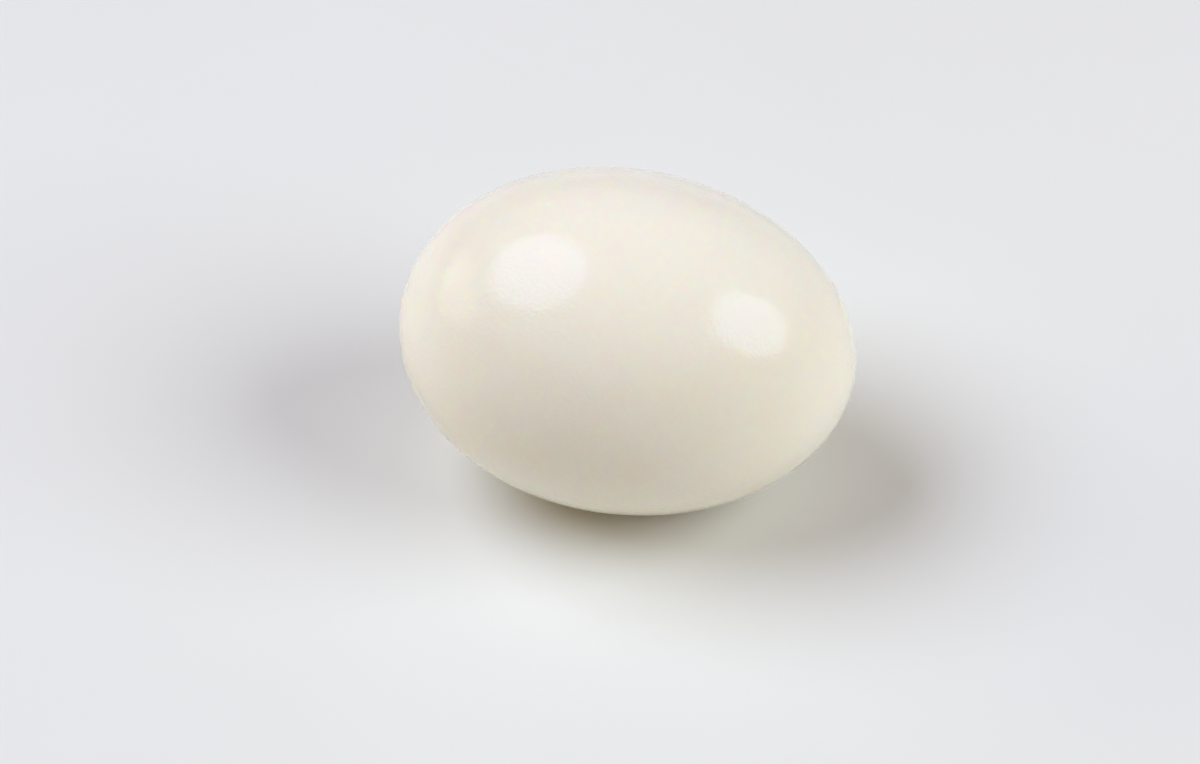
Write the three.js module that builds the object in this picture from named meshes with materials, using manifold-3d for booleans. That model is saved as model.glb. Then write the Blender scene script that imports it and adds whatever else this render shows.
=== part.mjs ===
// A peeled boiled hen's egg, lying on its side.
//
// An egg is a solid of revolution. Its outline here is Hügelschäffer's egg curve: an ellipse whose
// widest place is moved a little off its middle, so that one end is blunt and the other pointed.
// The cooked white is soft, so it is pressed flat over a small spot where it rests.
//
// Millimetres, +Z up. The pointed end faces +X. The origin is on the surface that the egg rests on,
// under the middle of the egg.
import * as THREE from 'three';
import { mergeVertices } from 'three/addons/utils/BufferGeometryUtils.js';
import Module from 'manifold-3d';

// Driving dimensions
const LENGTH = 56.8; // from pole to pole
const BREADTH = 42.5; // across the widest place
const BELLY_SHIFT = 0.9; // from the middle of the length to the widest place, towards the blunt end
const REST_TILT = THREE.MathUtils.degToRad(1.9); // left free, an egg settles with its pointed end low
const REST_DEPTH = 0.65; // how much of the round underside is pressed flat

// Fineness of the faceted surface
const LENGTH_STEPS = 40; // from pole to pole
const ROUND_STEPS = 64; // around the egg

const eggWhite = new THREE.MeshStandardMaterial({
  name: 'egg_white',
  color: '#ebe5d6', // cooked white is a pale, warm cream
  roughness: 0.35, // moist, with a soft sheen
  metalness: 0,
});

// Half of the egg's outline, from the blunt pole to the pointed one: radius against height.
class EggOutline extends THREE.Curve {
  getPoint(t, target = new THREE.Vector2()) {
    const height = (-LENGTH / 2) * Math.cos(Math.PI * t);
    const ellipse = LENGTH ** 2 - 4 * height ** 2;
    const taper = LENGTH ** 2 + 8 * BELLY_SHIFT * height + 4 * BELLY_SHIFT ** 2;
    return target.set((BREADTH / 2) * Math.sqrt(ellipse / taper), height);
  }
}

// The egg while it is still round all over, lying along X at its tilt. Its lowest point is
// REST_DEPTH under the surface that the egg rests on.
function makeRoundEgg() {
  const egg = new THREE.LatheGeometry(new EggOutline().getPoints(LENGTH_STEPS), ROUND_STEPS);
  egg.rotateZ(-Math.PI / 2);
  egg.rotateY(REST_TILT);
  egg.computeBoundingBox();
  const middle = egg.boundingBox.getCenter(new THREE.Vector3());
  egg.translate(-middle.x, -middle.y, -egg.boundingBox.min.z - REST_DEPTH);
  return egg;
}

// What the egg rests on: a block wider than the egg, with its top at height 0.
function makeSupport() {
  const support = new THREE.BoxGeometry(2 * LENGTH, 2 * LENGTH, LENGTH);
  support.translate(0, 0, -LENGTH / 2);
  return support;
}

const wasm = await Module();
wasm.setup();

// A closed geometry as a solid that can be cut.
function toSolid(geometry) {
  const bare = geometry.clone();
  bare.deleteAttribute('normal');
  bare.deleteAttribute('uv');
  const merged = mergeVertices(bare);
  return new wasm.Manifold(new wasm.Mesh({
    numProp: 3,
    vertProperties: merged.attributes.position.array,
    triVerts: new Uint32Array(merged.index.array),
  }));
}

// A solid as a geometry that can be drawn.
function toGeometry(solid) {
  const { vertProperties, triVerts } = solid.getMesh();
  const geometry = new THREE.BufferGeometry();
  geometry.setAttribute('position', new THREE.BufferAttribute(vertProperties, 3));
  geometry.setIndex(new THREE.BufferAttribute(triVerts, 1));
  geometry.computeVertexNormals();
  return geometry;
}

const restingEgg = toSolid(makeRoundEgg()).subtract(toSolid(makeSupport()));

const peeledEgg = new THREE.Mesh(toGeometry(restingEgg), eggWhite);
peeledEgg.name = 'peeled_egg';

const boiledEgg = new THREE.Group();
boiledEgg.add(peeledEgg);

export default boiledEgg;
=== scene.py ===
import math

import bpy
from mathutils import Matrix, Vector


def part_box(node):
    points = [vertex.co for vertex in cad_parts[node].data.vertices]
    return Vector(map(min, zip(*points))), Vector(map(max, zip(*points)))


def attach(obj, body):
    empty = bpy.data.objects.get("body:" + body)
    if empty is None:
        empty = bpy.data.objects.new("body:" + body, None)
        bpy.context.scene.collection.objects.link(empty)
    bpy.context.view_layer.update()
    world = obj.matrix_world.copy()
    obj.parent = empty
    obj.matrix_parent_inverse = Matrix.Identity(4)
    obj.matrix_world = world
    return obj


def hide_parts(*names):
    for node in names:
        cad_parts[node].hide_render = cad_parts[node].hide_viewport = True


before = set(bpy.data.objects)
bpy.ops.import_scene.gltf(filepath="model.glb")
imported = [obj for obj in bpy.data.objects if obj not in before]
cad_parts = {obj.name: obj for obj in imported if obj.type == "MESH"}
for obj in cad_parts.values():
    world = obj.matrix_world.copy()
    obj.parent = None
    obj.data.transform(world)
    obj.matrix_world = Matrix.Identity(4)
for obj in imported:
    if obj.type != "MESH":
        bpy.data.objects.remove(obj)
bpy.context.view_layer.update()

# A peeled boiled egg lying on its side on a pale studio floor. Everything is in metres, +Z up. The
# egg's length runs along X with its pointed end at +X, and the floor is at height 0.

MM = 0.001

# The egg. Its length, breadth and height come from the box of the solid in model.glb.
BELLY_SHIFT = 0.9 * MM  # from the middle of the length to the widest place, towards the blunt end
REST_TILT = math.radians(1.9)  # the pointed end lies a little low
REST_EDGE = 0.4 * MM  # how gently the flat resting spot turns into the round side
EGG_STEPS = 128  # mesh faces along each side of the cube that is blown up into an egg
SWELLS = 0.08 * MM  # how far the broad, faint hollows sink in
SWELL_SIZE = 11 * MM
PEEL = 0.012 * MM  # depth of the fine unevenness, like orange peel
PEEL_SIZE = 1.6 * MM
GRAIN_DEPTH = 0.025 * MM  # depth of the grain that the shell's inner skin leaves on the white
GRAIN_SIZE = 0.42 * MM
MOTTLE_SIZE = 6 * MM  # width of the paler and creamier patches in the white

# The camera, as it looks at the egg
VIEW_AZIMUTH = math.radians(17.0)
VIEW_ELEVATION = math.radians(44.1)
VIEW_ROLL = math.radians(4.1)
VIEW_DISTANCE = 686 * MM
VIEW_LENS = 168  # millimetres
SENSOR_WIDTH = 36  # millimetres
EGG_OFF_CENTRE = (3.3 * MM, 4.9 * MM)  # how far right and up the egg sits in the view

# The studio: its sizes, and the colours of its lights
FLOOR_RADIUS = 1.4
COVE_RADIUS = 0.15  # the floor curves up into a wall this high
PAINT_PATCH = 50 * MM  # width of the patches in the floor's paint
COOL_DAYLIGHT = (0.74, 0.815, 1.0, 1.0)
DAYLIGHT = (0.84, 0.91, 1.0, 1.0)
LAMPLIGHT = (1.0, 0.94, 0.65, 1.0)
ROOM_GLOW = (1.0, 0.2, 0.1, 1.0)
ROOM_STRENGTH = 0.09


def linear(hex_colour):
    """An sRGB colour such as "#ebe5d6" as linear red, green, blue and alpha."""
    channels = [int(hex_colour[i:i + 2], 16) / 255 for i in (1, 3, 5)]
    curved = [c / 12.92 if c <= 0.04045 else ((c + 0.055) / 1.055) ** 2.4 for c in channels]
    return (*curved, 1.0)


def add(tree, kind, inputs=None, **settings):
    """Adds a node. Each input is a number, a colour or the socket that it is linked from."""
    node = tree.nodes.new(kind)
    for name, value in settings.items():
        setattr(node, name, value)
    for name, value in (inputs or {}).items():
        if isinstance(value, bpy.types.NodeSocket):
            tree.links.new(value, node.inputs[name])
        else:
            node.inputs[name].default_value = value
    return node


def direction(azimuth, elevation):
    """The unit vector that points that way from the egg. Azimuth 0 is -Y, and 90 degrees is +X."""
    flat = math.cos(elevation)
    return Vector((math.sin(azimuth) * flat, -math.cos(azimuth) * flat, math.sin(elevation)))


def egg_sizes():
    """The egg's own length, breadth and middle, from the box of the tilted, flattened solid."""
    low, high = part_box("peeled_egg")
    box = high - low
    breadth = box.y
    length = math.sqrt(box.x ** 2 - (breadth * math.sin(REST_TILT)) ** 2) / math.cos(REST_TILT)
    round_height = math.hypot(length * math.sin(REST_TILT), breadth * math.cos(REST_TILT))
    middle = Vector(((low.x + high.x) / 2, (low.y + high.y) / 2, high.z - round_height / 2))
    return length, breadth, middle


def make_camera(target):
    """The camera looks down on the egg's long side, turned towards its pointed end."""
    camera = bpy.data.objects.new("camera", bpy.data.cameras.new("camera"))
    camera.data.lens = VIEW_LENS
    camera.data.sensor_width = SENSOR_WIDTH
    back = direction(VIEW_AZIMUTH, VIEW_ELEVATION)
    turn = back.to_track_quat("Z", "Y").to_matrix() @ Matrix.Rotation(-VIEW_ROLL, 3, "Z")
    right, up = EGG_OFF_CENTRE
    camera.location = target + back * VIEW_DISTANCE - turn @ Vector((right, up, 0))
    camera.rotation_euler = turn.to_euler()
    bpy.context.scene.collection.objects.link(camera)
    bpy.context.scene.camera = camera


def make_egg_tree():
    """Blows a fine cube up into an egg, then gives it its unevenness and its flat resting spot."""
    tree = bpy.data.node_groups.new("egg", "GeometryNodeTree")
    for name, kind in {
        "Length": "NodeSocketFloat",
        "Breadth": "NodeSocketFloat",
        "Belly Shift": "NodeSocketFloat",
        "Rest Tilt": "NodeSocketFloat",
        "Middle": "NodeSocketVector",
        "Rest Edge": "NodeSocketFloat",
        "Swells": "NodeSocketFloat",
        "Swell Size": "NodeSocketFloat",
        "Peel": "NodeSocketFloat",
        "Peel Size": "NodeSocketFloat",
        "Material": "NodeSocketMaterial",
    }.items():
        tree.interface.new_socket(name, in_out="INPUT", socket_type=kind)
    tree.interface.new_socket("Geometry", in_out="OUTPUT", socket_type="NodeSocketGeometry")
    given = add(tree, "NodeGroupInput").outputs

    def maths(operation, *values):
        inputs = dict(enumerate(values))
        return add(tree, "ShaderNodeMath", inputs, operation=operation).outputs[0]

    def vector_maths(operation, *values):
        inputs = dict(enumerate(values))
        return add(tree, "ShaderNodeVectorMath", inputs, operation=operation).outputs[0]

    # Each point of the cube gives a direction. The egg curve is an ellipse times a taper, which is
    # the root of L^2 / (L^2 + 8wx + 4w^2): L is the length, w the belly shift, and x how far along
    # the egg the point is.
    sides = {f"Vertices {axis}": EGG_STEPS + 1 for axis in "XYZ"}
    cube = add(tree, "GeometryNodeMeshCube", {"Size": (2, 2, 2), **sides})
    place = add(tree, "GeometryNodeInputPosition").outputs[0]
    ball = add(tree, "ShaderNodeSeparateXYZ", {0: vector_maths("NORMALIZE", place)}).outputs
    along = maths("MULTIPLY", ball[0], maths("MULTIPLY", given["Length"], 0.5))
    length_squared = maths("MULTIPLY", given["Length"], given["Length"])
    shift_squared = maths("MULTIPLY", given["Belly Shift"], given["Belly Shift"])
    lean = maths("MULTIPLY", maths("MULTIPLY", given["Belly Shift"], along), 8)
    lean = maths("ADD", lean, maths("MULTIPLY", shift_squared, 4))
    taper = maths("SQRT", maths("DIVIDE", length_squared, maths("ADD", length_squared, lean)))
    radius = maths("MULTIPLY", maths("MULTIPLY", given["Breadth"], 0.5), taper)
    level = add(tree, "ShaderNodeCombineXYZ", {
        "X": along,
        "Y": maths("MULTIPLY", ball[1], radius),
        "Z": maths("MULTIPLY", ball[2], radius),
    }).outputs[0]
    tilted = add(tree, "ShaderNodeVectorRotate", {
        "Vector": level,
        "Angle": given["Rest Tilt"],
    }, rotation_type="Y_AXIS").outputs[0]
    egg = add(tree, "GeometryNodeSetPosition", {
        "Geometry": cube.outputs["Mesh"],
        "Position": vector_maths("ADD", tilted, given["Middle"]),
    })

    # The white is faintly uneven: broad, shallow hollows, and a fine orange peel over them.
    def hollows(size, depth, detail):
        noise = add(tree, "ShaderNodeTexNoise", {
            "Vector": place,
            "Scale": maths("DIVIDE", 1, size),
            "Detail": detail,
        })
        return maths("MULTIPLY", noise.outputs[0], depth)

    sunk = maths(
        "ADD",
        hollows(given["Swell Size"], given["Swells"], 1),
        hollows(given["Peel Size"], given["Peel"], 2),
    )
    normal = add(tree, "GeometryNodeInputNormal").outputs[0]
    inward = add(tree, "ShaderNodeVectorMath", {
        0: normal,
        "Scale": maths("MULTIPLY", sunk, -1),
    }, operation="SCALE").outputs[0]
    uneven = add(tree, "GeometryNodeSetPosition", {"Geometry": egg.outputs[0], "Offset": inward})

    # The floor presses the soft underside flat.
    round_place = add(tree, "ShaderNodeSeparateXYZ", {0: place}).outputs
    pressed = maths("SMOOTH_MAX", round_place[2], 0, given["Rest Edge"])
    resting = add(tree, "GeometryNodeSetPosition", {
        "Geometry": uneven.outputs[0],
        "Position": add(tree, "ShaderNodeCombineXYZ", {
            "X": round_place[0],
            "Y": round_place[1],
            "Z": pressed,
        }).outputs[0],
    })
    smooth = add(tree, "GeometryNodeSetShadeSmooth", {"Geometry": resting.outputs[0]})
    whole = add(tree, "GeometryNodeRealizeInstances", {"Geometry": smooth.outputs[0]})
    painted = add(tree, "GeometryNodeSetMaterial", {
        "Geometry": whole.outputs[0],
        "Material": given["Material"],
    })
    add(tree, "NodeGroupOutput", {"Geometry": painted.outputs[0]})
    return tree


def make_egg(length, breadth, middle, material):
    """The egg as one plain closed mesh, made by the egg tree."""
    tree = make_egg_tree()
    maker = bpy.data.objects.new("egg_maker", bpy.data.meshes.new("egg_maker"))
    bpy.context.scene.collection.objects.link(maker)
    modifier = maker.modifiers.new("egg", "NODES")
    modifier.node_group = tree
    values = {
        "Length": length,
        "Breadth": breadth,
        "Belly Shift": BELLY_SHIFT,
        "Rest Tilt": REST_TILT,
        "Middle": middle,
        "Rest Edge": REST_EDGE,
        "Swells": SWELLS,
        "Swell Size": SWELL_SIZE,
        "Peel": PEEL,
        "Peel Size": PEEL_SIZE,
        "Material": material,
    }
    for socket in tree.interface.items_tree:
        if socket.in_out == "INPUT":
            modifier[socket.identifier] = values[socket.name]
    made = maker.evaluated_get(bpy.context.evaluated_depsgraph_get())
    mesh = bpy.data.meshes.new_from_object(made)
    bpy.data.objects.remove(maker)
    mesh.name = "boiled_egg"
    egg = bpy.data.objects.new("boiled_egg", mesh)
    bpy.context.scene.collection.objects.link(egg)
    return egg


def cooked_egg_white():
    """Cooked egg white, set against the shell's inner skin.

    It is moist and a little translucent, so light sinks in and softens its shading. The skin's
    fine grain breaks up the edges of the shine, which is faintly blue on the cream.
    """
    material = bpy.data.materials.new("cooked_egg_white")
    material.use_nodes = True
    tree = material.node_tree
    tree.nodes.clear()
    place = add(tree, "ShaderNodeTexCoord").outputs["Object"]
    mottle = add(tree, "ShaderNodeTexNoise", {
        "Vector": place,
        "Scale": 1 / MOTTLE_SIZE,
        "Detail": 3,
    })
    colour = add(tree, "ShaderNodeMix", {
        "Factor": mottle.outputs[0],
        "A": linear("#f8f2df"),
        "B": linear("#f5eed8"),
    }, data_type="RGBA")
    grain = add(tree, "ShaderNodeTexNoise", {
        "Vector": place,
        "Scale": 1 / GRAIN_SIZE,
        "Detail": 0,
    })
    bump = add(tree, "ShaderNodeBump", {
        "Height": grain.outputs[0],
        "Distance": GRAIN_DEPTH,
        "Strength": 1,
    })
    surface = add(tree, "ShaderNodeBsdfPrincipled", {
        "Base Color": colour.outputs["Result"],
        "Roughness": 0.06,
        "IOR": 1.37,
        "Specular IOR Level": 0.4,
        "Specular Tint": (0.7, 0.75, 1.0, 1.0),
        "Normal": bump.outputs[0],
        "Subsurface Weight": 1,
        "Subsurface Radius": (1.0, 0.6, 0.3),
        "Subsurface Scale": 4 * MM,
    })
    add(tree, "ShaderNodeOutputMaterial", {"Surface": surface.outputs[0]})
    return material


def studio_paint():
    """Matt white paint, rolled on a little unevenly. It has no shine to draw the eye."""
    material = bpy.data.materials.new("studio_paint")
    material.use_nodes = True
    tree = material.node_tree
    tree.nodes.clear()
    place = add(tree, "ShaderNodeTexCoord").outputs["Object"]
    patches = add(tree, "ShaderNodeTexNoise", {
        "Vector": place,
        "Scale": 1 / PAINT_PATCH,
        "Detail": 2,
    })
    colour = add(tree, "ShaderNodeMix", {
        "Factor": patches.outputs[0],
        "A": linear("#e9e9df"),
        "B": linear("#e5e5db"),
    }, data_type="RGBA")
    surface = add(tree, "ShaderNodeBsdfPrincipled", {
        "Base Color": colour.outputs["Result"],
        "Roughness": 0.9,
        "Specular IOR Level": 0,
    })
    add(tree, "ShaderNodeOutputMaterial", {"Surface": surface.outputs[0]})
    return material


def make_floor(material):
    """A round pale floor that curves up into a low wall, so that no edge shows from any side."""
    turns = 96
    bends = 12
    rings = [(FLOOR_RADIUS / 2, 0), (FLOOR_RADIUS, 0)]
    for bend in range(1, bends + 1):
        angle = math.pi / 2 * bend / bends
        out = FLOOR_RADIUS + COVE_RADIUS * math.sin(angle)
        up = COVE_RADIUS * (1 - math.cos(angle))
        rings.append((out, up))
    verts = []
    for out, up in rings:
        for turn in range(turns):
            angle = 2 * math.pi * turn / turns
            verts.append((out * math.cos(angle), out * math.sin(angle), up))
    faces = [tuple(range(turns))]
    for ring in range(len(rings) - 1):
        for turn in range(turns):
            here = ring * turns + turn
            beside = ring * turns + (turn + 1) % turns
            faces.append((here, here + turns, beside + turns, beside))
    mesh = bpy.data.meshes.new("floor")
    mesh.from_pydata(verts, [], faces)
    mesh.shade_smooth()
    mesh.materials.append(material)
    floor = bpy.data.objects.new("floor", mesh)
    bpy.context.scene.collection.objects.link(floor)


def make_softbox(name, azimuth, elevation, distance, width, height, power, colour, target):
    """A soft oval light that faces the egg. Its angles are in degrees and its sizes in metres."""
    light = bpy.data.lights.new(name, "AREA")
    light.shape = "ELLIPSE"
    light.size = width
    light.size_y = height
    light.energy = power
    light.color = colour[:3]
    softbox = bpy.data.objects.new(name, light)
    towards = direction(math.radians(azimuth), math.radians(elevation))
    softbox.location = target + towards * distance
    softbox.rotation_euler = towards.to_track_quat("Z", "Y").to_euler()
    softbox.visible_camera = False
    bpy.context.scene.collection.objects.link(softbox)


def make_world(colour, strength):
    """The dim, warm room around the floor, which takes the chill off the shadows."""
    world = bpy.data.worlds.new("room")
    world.use_nodes = True
    background = world.node_tree.nodes["Background"]
    background.inputs["Color"].default_value = colour
    background.inputs["Strength"].default_value = strength
    bpy.context.scene.world = world


length, breadth, middle = egg_sizes()
make_camera(middle)
egg = make_egg(length, breadth, middle, cooked_egg_white())
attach(egg, "root")
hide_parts("peeled_egg")

make_floor(studio_paint())
make_softbox(
    "softbox_left", azimuth=-86.8, elevation=56.7, distance=1.2, width=1.12, height=0.88,
    power=13.4, colour=COOL_DAYLIGHT, target=middle,
)
make_softbox(
    "softbox_right", azimuth=86.7, elevation=37.3, distance=1.2, width=0.94, height=0.84,
    power=11.2, colour=DAYLIGHT, target=middle,
)
make_softbox(
    "low_light", azimuth=-90, elevation=17, distance=2.6, width=2.08, height=1.1,
    power=13.0, colour=LAMPLIGHT, target=middle,
)
make_world(ROOM_GLOW, ROOM_STRENGTH)
bpy.context.scene.view_settings.view_transform = "Standard"
